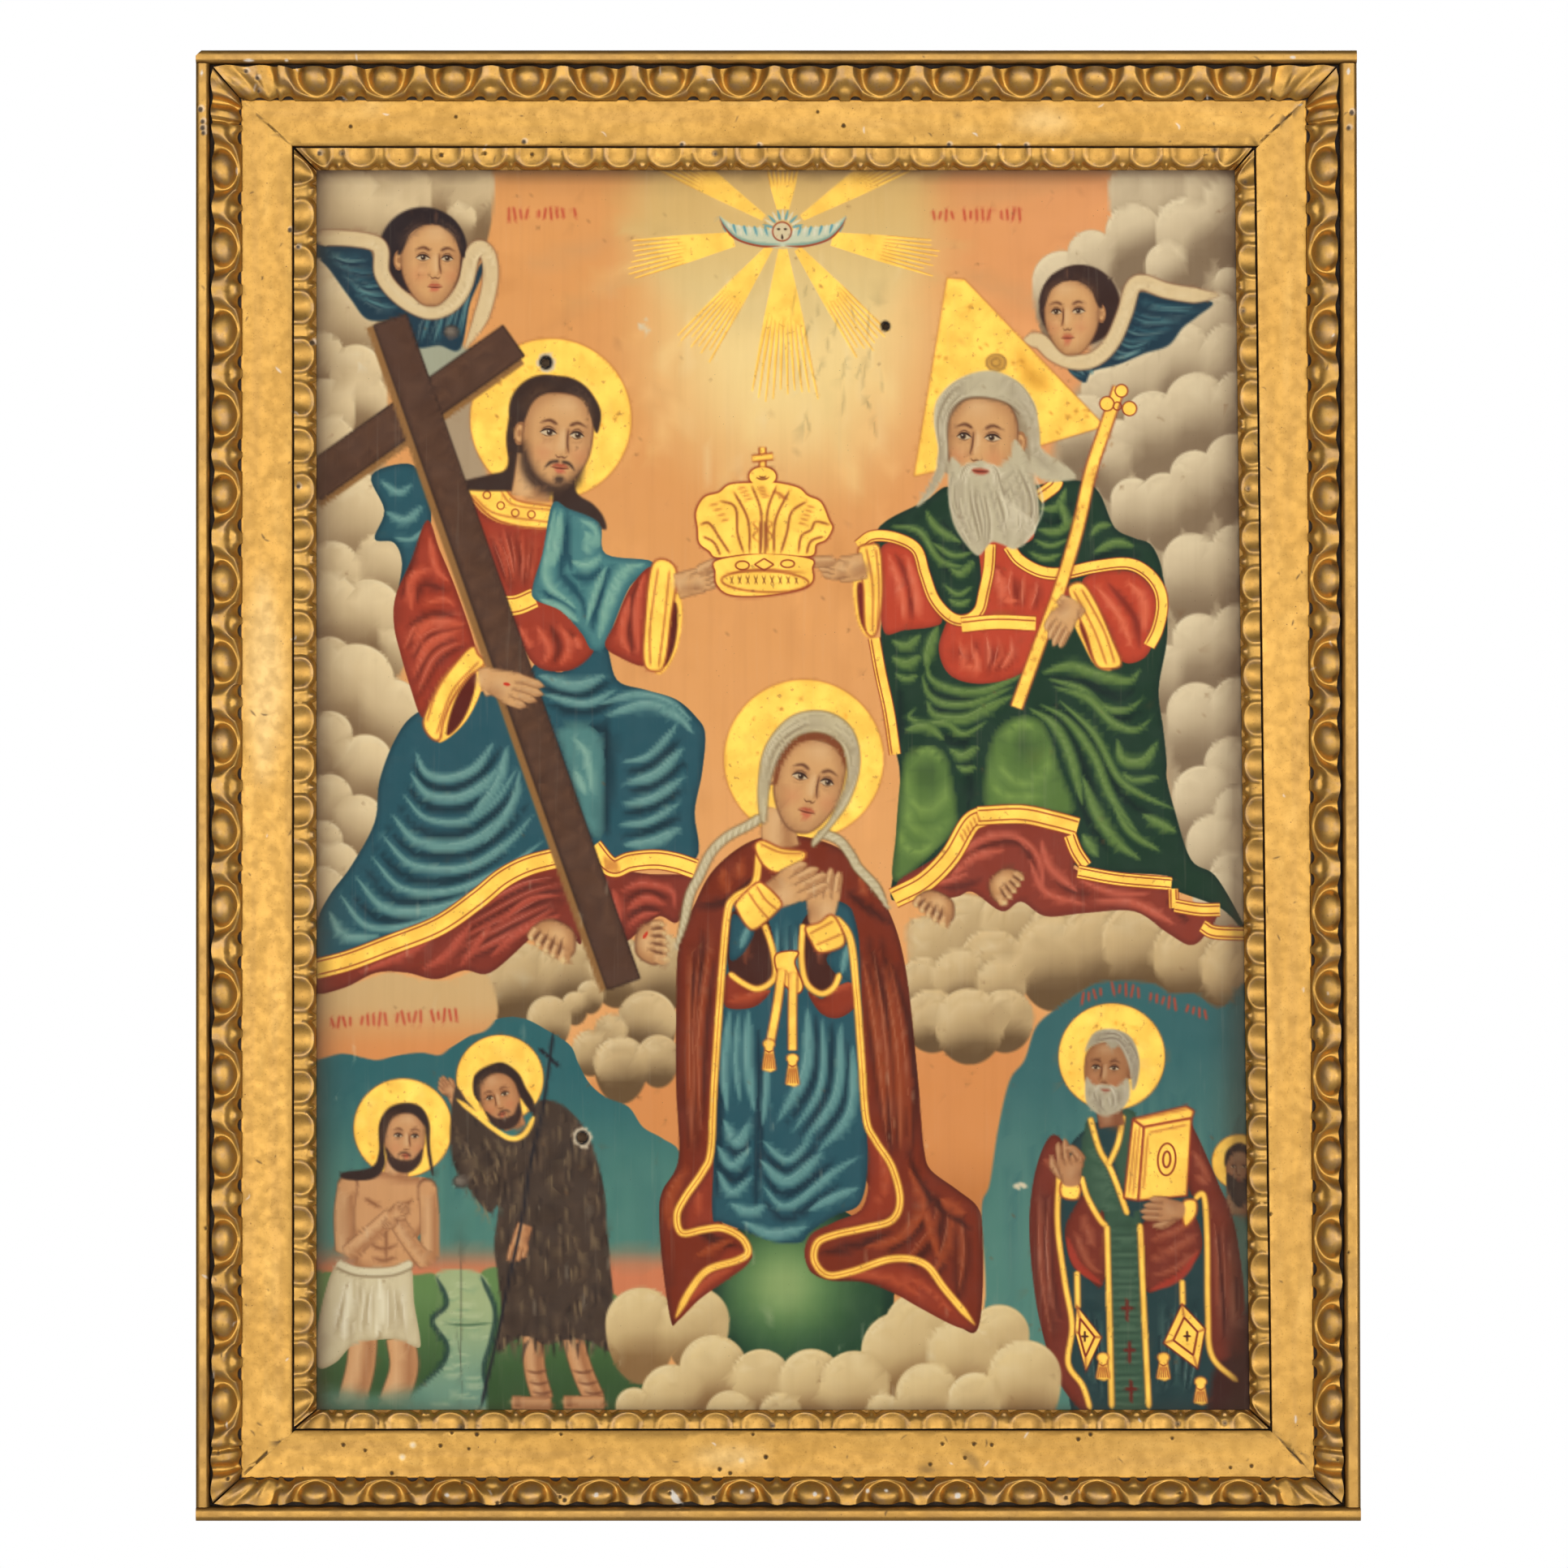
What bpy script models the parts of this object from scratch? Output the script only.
"""Framed wooden icon: a painted panel in a carved and gilded frame, hung flat on a wall.

Metres, +Z up. The back lies in the wall plane y = 0 and the face looks along -Y. The origin is at the
middle of the top frame board's flat back.

Every piece of the frame runs between two lines that go round it. A line is given by its four corners,
clockwise from the top left as seen from the front.
"""
import math

import bmesh
import bpy
from mathutils import Vector

# Outside of the frame
FRAME_WIDTH = 0.8586
FRAME_HEIGHT = 1.0878
FRAME_DEPTH = 0.046
FRAME_LEAN = 0.003

# Edge strips round the outside
EDGE_LEFT = 0.0096
EDGE_RIGHT = 0.0122
EDGE_TOP = 0.0095
EDGE_BOTTOM = 0.0100
EDGE_LEAN = 0.001
EDGE_ROUND = 0.0038
ROUND_SEGMENTS = 3
CORNER_WEAR = 0.004

# Egg-and-tongue strips planted on the boards
EGG_LEFT = 0.0240
EGG_RIGHT = 0.0252
EGG_TOP = 0.0272
EGG_BOTTOM = 0.0218
EGG_LEAN = 0.002
EGG_CREST = 0.0125
EGG_EDGE = 0.0018
EGG_BULGE = 0.0030
TROUGH_DEPTH = 0.0050
RIM_RISE = 0.0008
TONGUE_DROP = 0.0020
EGG_NOTCH = 0.0018
EGGS_ACROSS = 14
EGGS_UP = 16
EGG_WANDER = 0.0012
LEAF_ACROSS = 0.050
LEAF_UP = 0.044

# Flat frieze of the frame boards
FRIEZE_LEFT = 0.0370
FRIEZE_RIGHT = 0.0366
FRIEZE_TOP = 0.0333
FRIEZE_BOTTOM = 0.0342
FRIEZE_LEAN = 0.006
BOARD_THICKNESS = 0.031
FRIEZE_HOLLOW = 0.0010
ARRIS_WIDTH = 0.0030
ARRIS_RISE = 0.0006

# Slips nailed over the edge of the panel
SLIP_LEFT = 0.0174
SLIP_RIGHT = 0.0150
SLIP_TOP = 0.0171
SLIP_BOTTOM = 0.0146
SLIP_LEAN = -0.001
SLIP_THICKNESS = 0.0078
SLIP_LIP = 0.0022
SLIP_LOBE = 0.0012
SLIP_SCALLOP = 0.0040
SLIP_LEDGE = 0.0014
SLIP_RUN_IN = 0.027
LOBES_ACROSS = 22
LOBES_UP = 28

# Painted panel
PANEL_THICKNESS = 0.020
PANEL_SET_BACK = 0.001
PANEL_LAP = 0.008
HOLE_DEPTH = 0.008
HOLE_SIDES = 10
# Each hole: across from the left of the picture, down from its top, radius
HOLES = (
    (0.170, 0.143, 0.0030),
    (0.422, 0.116, 0.0022),
    (0.197, 0.718, 0.0036),
)

# Gaps
CLEARANCE = 0.0003
GROOVE = 0.0013
MITRE_GAP = 0.0006
SLIP_MITRE_GAP = 0.0010

SIDES = ("top", "right", "bottom", "left")
LAYERS = (
    (EDGE_LEFT, EDGE_RIGHT, EDGE_TOP, EDGE_BOTTOM, EDGE_LEAN),
    (EGG_LEFT, EGG_RIGHT, EGG_TOP, EGG_BOTTOM, EGG_LEAN),
    (FRIEZE_LEFT, FRIEZE_RIGHT, FRIEZE_TOP, FRIEZE_BOTTOM, FRIEZE_LEAN),
    (SLIP_LEFT, SLIP_RIGHT, SLIP_TOP, SLIP_BOTTOM, SLIP_LEAN),
)
EDGE_LINE = 1
EGG_LINE = 2
FRIEZE_LINE = 3
SIGHT_LINE = 4

BOARD_TOP_EDGE = EDGE_TOP + CLEARANCE
BOARD_LOW_EDGE = EDGE_TOP + EGG_TOP + FRIEZE_TOP + SLIP_TOP - PANEL_LAP - CLEARANCE
TOP = (BOARD_TOP_EDGE + BOARD_LOW_EDGE) / 2
PANEL_FRONT = PANEL_SET_BACK + PANEL_THICKNESS

# Stations along one egg and one lobe, as shares of their spacing, and shares across each strip
EGG_STATIONS = (-0.5, -0.38, -0.26, 0.0, 0.26, 0.38)
EGG_SHARES = (0.0, 0.32, 0.62, 0.86, 1.0)
LEAF_RIBS = 3
LOBE_STATIONS = (-0.5, -0.30, 0.0, 0.30)
LOBE_SHARES = (0.0, 0.6, 1.0)

GOLD = (0.62, 0.38, 0.10, 1.0)
CARVED_GOLD = (0.55, 0.32, 0.08, 1.0)
PICTURE = (0.55, 0.33, 0.18, 1.0)


def clear_scene():
    for item in list(bpy.data.objects):
        bpy.data.objects.remove(item, do_unlink=True)


def finish(name, color, roughness, metallic):
    material = bpy.data.materials.new(name)
    material.use_nodes = True
    shader = material.node_tree.nodes["Principled BSDF"]
    shader.inputs["Base Color"].default_value = color
    shader.inputs["Roughness"].default_value = roughness
    shader.inputs["Metallic"].default_value = metallic
    material.diffuse_color = color
    return material


def line_round(layers, extra=0.0):
    """Corners of the line inside the first layers, moved inwards by extra."""
    inside = LAYERS[:layers]
    x_left = -FRAME_WIDTH / 2 + sum(layer[0] for layer in inside) + extra
    x_right = FRAME_WIDTH / 2 - sum(layer[1] for layer in inside) - extra
    z_top = TOP - sum(layer[2] for layer in inside) - extra
    z_low = TOP - FRAME_HEIGHT + sum(layer[3] for layer in inside) + extra
    lean = FRAME_LEAN + sum(layer[4] for layer in inside)
    return [
        Vector((x_left, z_top)),
        Vector((x_right, z_top)),
        Vector((x_right + lean, z_low)),
        Vector((x_left, z_low)),
    ]


def place(plan, height):
    """A point of the plan, x and z, at a height above the wall."""
    return Vector((plan.x, -height, plan.y))


class Rail:
    """One side between an outer and an inner line, measured along the outer line and inwards from it."""

    def __init__(self, side, outer, inner, gap):
        index = SIDES.index(side)
        self.start = outer[index]
        self.end = outer[(index + 1) % len(SIDES)]
        self.length = (self.end - self.start).length
        self.along = (self.end - self.start).normalized()
        self.inward = Vector((self.along.y, -self.along.x))
        self.gap = gap
        self.first = self.local(inner[index])
        self.last = self.local(inner[(index + 1) % len(SIDES)])

    def local(self, corner):
        step = corner - self.start
        return Vector((step.dot(self.along), step.dot(self.inward)))

    def width(self, run):
        share = (run - self.first.x) / (self.last.x - self.first.x)
        return self.first.y + (self.last.y - self.first.y) * share

    def plan(self, run, depth):
        return self.start + self.along * run + self.inward * depth

    def square(self, run, share):
        return self.plan(run, self.width(run) * share)

    def point(self, run, share, fan):
        """Square across the rail, and fanned towards the mitre within fan of either end."""
        if run < fan:
            mitre = self.plan(self.first.x * share + self.gap, self.first.y * share)
            return mitre.lerp(self.square(fan, share), run / fan)
        if run > self.length - fan:
            back = self.length - self.last.x
            mitre = self.plan(self.length - back * share - self.gap, self.last.y * share)
            return mitre.lerp(self.square(self.length - fan, share), (self.length - run) / fan)
        return self.square(run, share)


def finished_object(name, mesh_builder, material):
    """Turn a bmesh into a named object with outward faces and its material."""
    bmesh.ops.recalc_face_normals(mesh_builder, faces=mesh_builder.faces)
    if mesh_builder.calc_volume(signed=True) < 0:
        bmesh.ops.reverse_faces(mesh_builder, faces=mesh_builder.faces)
    mesh = bpy.data.meshes.new(name)
    mesh_builder.to_mesh(mesh)
    mesh_builder.free()
    mesh.materials.append(material)
    item = bpy.data.objects.new(name, mesh)
    bpy.context.collection.objects.link(item)
    return item


def meet(start, end, other_start, other_end):
    """Where two plan lines cross, taken as far as they need to go."""
    step = end - start
    other = other_end - other_start
    offset = other_start - start
    share = (offset.x * other.y - offset.y * other.x) / (step.x * other.y - step.y * other.x)
    return start + step * share


def swept_rail(side, section, gap):
    """A bar along one side, cut at a straight mitre. The section lists pairs of a line and a height."""
    index = SIDES.index(side)
    following = (index + 1) % len(SIDES)
    outer = section[0][0]
    inner = section[-1][0]
    along = (outer[following] - outer[index]).normalized()

    def cut(line, corner, shift):
        plan = meet(line[index], line[following], outer[corner], inner[corner])
        return plan + along * shift

    builder = bmesh.new()
    near = [place(cut(line, index, gap), height) for line, height in section]
    far = [place(cut(line, following, -gap), height) for line, height in section]
    near_face = builder.faces.new([builder.verts.new(point) for point in near])
    grown = bmesh.ops.extrude_face_region(builder, geom=[near_face])["geom"]
    for vertex in [item for item in grown if isinstance(item, bmesh.types.BMVert)]:
        nearest = min(range(len(section)), key=lambda k: (near[k] - vertex.co).length)
        vertex.co = far[nearest]
    return builder


def carved_strip(rail, stations, shares, fan, floor, height, reach):
    """A strip with a carved face. The first and last row of the grid are the back's two long edges."""
    columns = len(stations) - 1
    last_row = len(shares) + 1
    builder = bmesh.new()
    bmesh.ops.create_grid(builder, x_segments=columns, y_segments=last_row, size=0.5)
    low_rows = {0: set(), last_row: set()}
    for vertex in builder.verts:
        run = stations[round((vertex.co.x + 0.5) * columns)]
        row = round((vertex.co.y + 0.5) * last_row)
        if row in low_rows:
            low_rows[row].add(vertex)
            vertex.co = place(rail.point(run, row / last_row, fan), floor)
        else:
            share = shares[row - 1]
            vertex.co = place(rail.point(run, share * reach(run), fan), floor + height(run, share))
    low_edges = [edge for edge in builder.edges
                 if any(chain.issuperset(edge.verts) for chain in low_rows.values())]
    bmesh.ops.bridge_loops(builder, edges=low_edges)
    bmesh.ops.holes_fill(builder, edges=[edge for edge in builder.edges if edge.is_boundary], sides=0)
    return builder


def pattern_places(length, leaf, count):
    """Where each egg or lobe stands along a strip, spaced by eye as a carver does, and their spacing."""
    spacing = (length - 2 * leaf) / count
    places = [leaf + spacing * (k + 0.5) + EGG_WANDER * math.sin(2.4 * k) for k in range(count)]
    return places, spacing


def pattern_stations(length, leaf, count, offsets, ribs):
    places, spacing = pattern_places(length, leaf, count)
    stations = [leaf * k / ribs for k in range(ribs)]
    stations += [middle + spacing * offset for middle in places for offset in offsets]
    stations += [length - leaf * k / ribs for k in range(ribs, -1, -1)]
    return stations


def share_from_middle(run, places, spacing):
    """Signed distance to the nearest egg or lobe, as a share of the spacing."""
    nearest = min(places, key=lambda middle: abs(middle - run))
    return (run - nearest) / spacing


def bump(distance):
    """A round hump: 1 in the middle, 0 from a distance of 1 on."""
    return math.sqrt(max(0.0, 1.0 - distance * distance))


def egg_height(run, share, length, leaf, places, spacing):
    """Height of the egg carving above the board it is planted on.

    Each egg lies in a scooped shell, whose rim joins the next one at the outer edge. Below that, between
    two rims, the round tip of a tongue shows.
    """
    ovolo = EGG_EDGE + (EGG_CREST - EGG_EDGE) * bump(share)
    if run < leaf or run > length - leaf:
        rib = math.cos(math.pi * LEAF_RIBS * min(run, length - run) / leaf)
        return ovolo + RIM_RISE * rib * bump(2 * share - 1)
    across = abs(share_from_middle(run, places, spacing))
    egg_side = 0.20 * max(0.0, 1 - (share / 0.92) ** 2) ** 0.6
    shell_side = 0.37 * max(0.0, 1 - (share / 0.97) ** 2) ** 0.45
    if across < egg_side:
        return ovolo + EGG_BULGE * (2 * bump(across / egg_side) - 1)
    if across < shell_side:
        climb = (across - egg_side) / (shell_side - egg_side)
        return max(EGG_EDGE, ovolo - TROUGH_DEPTH * (1 - climb) * (1 - 0.5 * share))
    rim = RIM_RISE * bump((across - shell_side - 0.05) / 0.07)
    drop = TONGUE_DROP * min(1.0, max(0.0, (across - shell_side - 0.08) / 0.04))
    tip = TONGUE_DROP * bump(math.hypot((across - 0.5) / 0.13, (share - 0.85) / 0.22))
    return max(EGG_EDGE, ovolo + rim - drop * share + tip)


def slip_height(run, share, places, spacing):
    """Height of the slip's carved face above the panel."""
    fall = SLIP_LIP + (SLIP_THICKNESS - SLIP_LIP) * (1 - share ** 2)
    across = share_from_middle(run, places, spacing)
    return max(SLIP_LIP, fall + SLIP_LOBE * math.cos(2 * math.pi * across) * bump(share))


def painted_panel(material):
    """The panel reaches under the slips on every side, and three old nail holes are let into its face."""
    outline = line_round(SIGHT_LINE, -PANEL_LAP)
    builder = bmesh.new()
    face = builder.faces.new([builder.verts.new(place(corner, PANEL_SET_BACK)) for corner in outline])
    grown = bmesh.ops.extrude_face_region(builder, geom=[face])["geom"]
    front = [item for item in grown if isinstance(item, bmesh.types.BMVert)]
    bmesh.ops.translate(builder, verts=front, vec=Vector((0, -PANEL_THICKNESS, 0)))
    panel = finished_object("painted_panel", builder, material)
    corner = line_round(SIGHT_LINE)[0]
    for number, (across, down, radius) in enumerate(HOLES):
        bpy.ops.mesh.primitive_cylinder_add(
            vertices=HOLE_SIDES,
            radius=radius,
            depth=2 * HOLE_DEPTH,
            location=place(corner + Vector((across, -down)), PANEL_FRONT),
            rotation=(math.pi / 2, 0, 0),
        )
        cutter = bpy.context.active_object
        cutter.name = f"hole_cutter_{number}"
        cutter.hide_render = True
        cutter.display_type = "WIRE"
        cut = panel.modifiers.new(f"hole_{number}", "BOOLEAN")
        cut.operation = "DIFFERENCE"
        cut.solver = "EXACT"
        cut.object = cutter


def frame_board(side, material):
    """A board with a shallow hollow frieze, an arris at its inner edge and a rebate for the slip."""
    outer = line_round(EDGE_LINE, CLEARANCE)
    egg_line = line_round(EGG_LINE)
    frieze_line = line_round(FRIEZE_LINE)
    arris_line = line_round(FRIEZE_LINE, -ARRIS_WIDTH)
    middle_line = [near.lerp(far, 0.5) for near, far in zip(egg_line, arris_line)]
    inner = line_round(SIGHT_LINE, -PANEL_LAP - CLEARANCE)
    section = [
        (outer, 0.0),
        (outer, BOARD_THICKNESS),
        (egg_line, BOARD_THICKNESS),
        (middle_line, BOARD_THICKNESS - FRIEZE_HOLLOW),
        (arris_line, BOARD_THICKNESS - FRIEZE_HOLLOW / 2),
        (frieze_line, BOARD_THICKNESS + ARRIS_RISE),
        (frieze_line, PANEL_FRONT),
        (inner, PANEL_FRONT),
        (inner, 0.0),
    ]
    finished_object(f"{side}_frame_board", swept_rail(side, section, MITRE_GAP), material)


def egg_strip(side, material):
    """An ovolo carved with eggs in rimmed shells and tongues between them, with a leaf at each mitre."""
    rail = Rail(side, line_round(EDGE_LINE, GROOVE), line_round(EGG_LINE), MITRE_GAP)
    count, leaf = (EGGS_ACROSS, LEAF_ACROSS) if side in ("top", "bottom") else (EGGS_UP, LEAF_UP)
    places, spacing = pattern_places(rail.length, leaf, count)
    stations = pattern_stations(rail.length, leaf, count, EGG_STATIONS, LEAF_RIBS)

    def height(run, share):
        return egg_height(run, share, rail.length, leaf, places, spacing)

    def reach(run):
        if run < leaf or run > rail.length - leaf:
            return 1.0
        across = abs(share_from_middle(run, places, spacing))
        return 1.0 - EGG_NOTCH / rail.width(run) * bump((across - 0.38) / 0.12)

    floor = BOARD_THICKNESS + CLEARANCE
    builder = carved_strip(rail, stations, EGG_SHARES, leaf, floor, height, reach)
    finished_object(f"{side}_egg_strip", builder, material)


def slip(side, material):
    """A thin moulding that falls to the picture, with a scalloped free edge."""
    rail = Rail(side, line_round(FRIEZE_LINE, GROOVE), line_round(SIGHT_LINE), SLIP_MITRE_GAP)
    count = LOBES_ACROSS if side in ("top", "bottom") else LOBES_UP
    places, spacing = pattern_places(rail.length, SLIP_RUN_IN, count)
    stations = pattern_stations(rail.length, SLIP_RUN_IN, count, LOBE_STATIONS, 1)

    def height(run, share):
        return slip_height(run, share, places, spacing)

    def reach(run):
        notch = SLIP_SCALLOP * abs(2 * share_from_middle(run, places, spacing))
        if run < SLIP_RUN_IN or run > rail.length - SLIP_RUN_IN:
            notch = 0.0
        return 1.0 - (SLIP_LEDGE + notch) / rail.width(run)

    floor = PANEL_FRONT + CLEARANCE
    builder = carved_strip(rail, stations, LOBE_SHARES, SLIP_RUN_IN, floor, height, reach)
    finished_object(f"{side}_slip", builder, material)


def edge_strip(side, material):
    """A narrow strip on edge with a rounded front. The side strips stand between the other two."""
    outer = line_round(0)
    inner = line_round(EDGE_LINE)
    index = SIDES.index(side)
    following = (index + 1) % len(SIDES)
    if side in ("top", "bottom"):
        corners = [
            outer[index],
            outer[following],
            Vector((outer[following].x, inner[following].y)),
            Vector((outer[index].x, inner[index].y)),
        ]
        if side == "top":
            corners[:1] = [outer[index] - Vector((0, CORNER_WEAR)), outer[index] + Vector((CORNER_WEAR, 0))]
    else:
        step = CLEARANCE if side == "right" else -CLEARANCE
        corners = [
            Vector((outer[index].x, inner[index].y - step)),
            Vector((outer[following].x, inner[following].y + step)),
            Vector((inner[following].x, inner[following].y + step)),
            Vector((inner[index].x, inner[index].y - step)),
        ]
    builder = bmesh.new()
    face = builder.faces.new([builder.verts.new(place(corner, 0.0)) for corner in corners])
    grown = bmesh.ops.extrude_face_region(builder, geom=[face])["geom"]
    front = [item for item in grown if isinstance(item, bmesh.types.BMVert)]
    bmesh.ops.translate(builder, verts=front, vec=Vector((0, -FRAME_DEPTH, 0)))
    longest = max(edge.calc_length() for edge in builder.edges)
    long_edges = [edge for edge in builder.edges
                  if all(vertex in front for vertex in edge.verts) and edge.calc_length() > longest / 2]
    bmesh.ops.bevel(builder, geom=long_edges, offset=EDGE_ROUND, offset_type="OFFSET", affect="EDGES",
                    segments=ROUND_SEGMENTS, profile=0.5, material=-1)
    finished_object(f"{side}_edge_strip", builder, material)


def build():
    clear_scene()
    painted_panel(finish("painted_panel", PICTURE, 0.4, 0.0))
    for side in SIDES:
        frame_board(side, finish(f"{side}_board_gilding", GOLD, 0.38, 0.8))
        egg_strip(side, finish(f"{side}_egg_gilding", CARVED_GOLD, 0.35, 0.8))
        edge_strip(side, finish(f"{side}_edge_gilding", GOLD, 0.38, 0.8))
        slip(side, finish(f"{side}_slip_gilding", CARVED_GOLD, 0.35, 0.8))


build()
